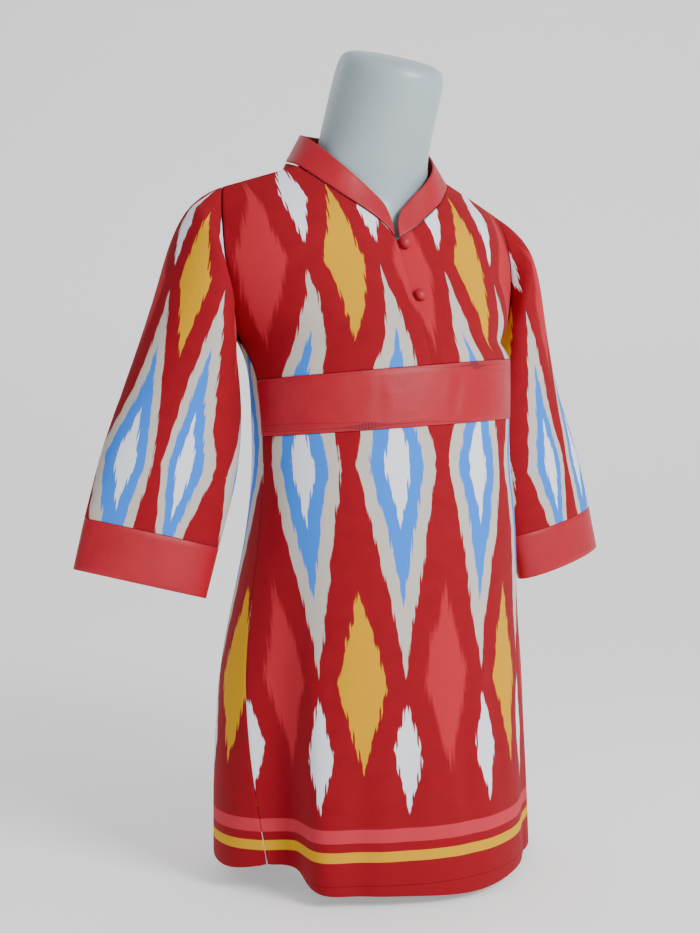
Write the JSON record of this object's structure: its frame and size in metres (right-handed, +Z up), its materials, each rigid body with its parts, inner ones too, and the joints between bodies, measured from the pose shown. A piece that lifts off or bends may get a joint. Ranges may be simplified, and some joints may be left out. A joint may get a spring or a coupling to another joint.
{
  "type": "batik tunic on limbless dress form",
  "caption": "Flared tunic with stand collar, empire waistband and three-quarter sleeves in a lozenge print, worn by a limbless dress form.",
  "frame": {"origin": "centre of the dress form's flat base, on the surface it stands on", "axes": "+Z up, -Y towards the front of the tunic, +X towards the wearer's left"},
  "size_m": [0.658, 0.2941, 0.8765],
  "materials": {
    "printed_cotton": "matt plain-weave cotton printed with soft-edged lozenges in pale grey, blue, white, mustard and rose on red",
    "plain_cotton": "plain red cotton sateen with a slight sheen",
    "form_plastic": "smooth grey-blue satin plastic"
  },
  "bodies": {
    "root": {"dress_form": "form_plastic", "back": "printed_cotton", "skirt_front": "printed_cotton", "bodice_front_right": "printed_cotton", "bodice_front_left": "printed_cotton", "waistband": "plain_cotton", "collar": "plain_cotton", "sleeve_left": "printed_cotton", "sleeve_right": "printed_cotton", "cuff_left": "plain_cotton", "cuff_right": "plain_cotton", "button_1": "plain_cotton", "button_2": "plain_cotton"}
  },
  "joints": []
}
